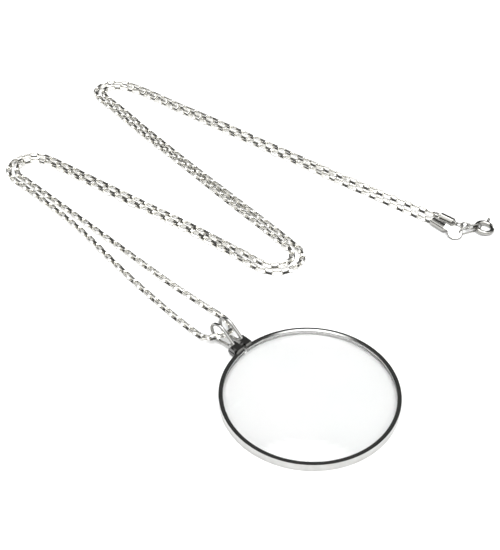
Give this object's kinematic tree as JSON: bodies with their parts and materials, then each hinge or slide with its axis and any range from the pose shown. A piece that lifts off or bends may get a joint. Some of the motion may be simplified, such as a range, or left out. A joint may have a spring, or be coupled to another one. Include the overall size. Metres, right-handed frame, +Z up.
{
  "type": "magnifier pendant",
  "caption": "Round magnifying lens in a thin metal rim with a looped bail, hung on a long fine link chain with end caps and a spring ring clasp, laid in a zigzag.",
  "frame": {"origin": "on the table under the middle of the whole piece as it lies", "axes": "+Z up, +Y from the lens towards the chain's far bends, +X towards the clasp"},
  "size_m": [0.1457, 0.164, 0.0065],
  "materials": {
    "rim": "polished",
    "lens": "clear",
    "screw": "polished",
    "chain": "polished",
    "findings": "polished"
  },
  "bodies": {
    "necklace": {"rim": "rim", "lens": "lens", "closing_screw": "screw", "chain_one": "chain", "chain_two": "chain", "end_cap_one": "findings", "end_cap_two": "findings", "hook_ring": "findings", "jump_ring": "findings", "clasp_body": "findings"},
    "bolt": {"clasp_bolt": "findings"}
  },
  "joints": [
    {"name": "bolt_turn", "type": "hinge", "parent": "necklace", "child": "bolt", "pos_m": [0.0699, 0.0053, 0.0009], "axis": [0.1045, 0, 0.9945], "range_deg": [0, 34], "stiffness_Nm_per_rad": 0.0008}
  ]
}
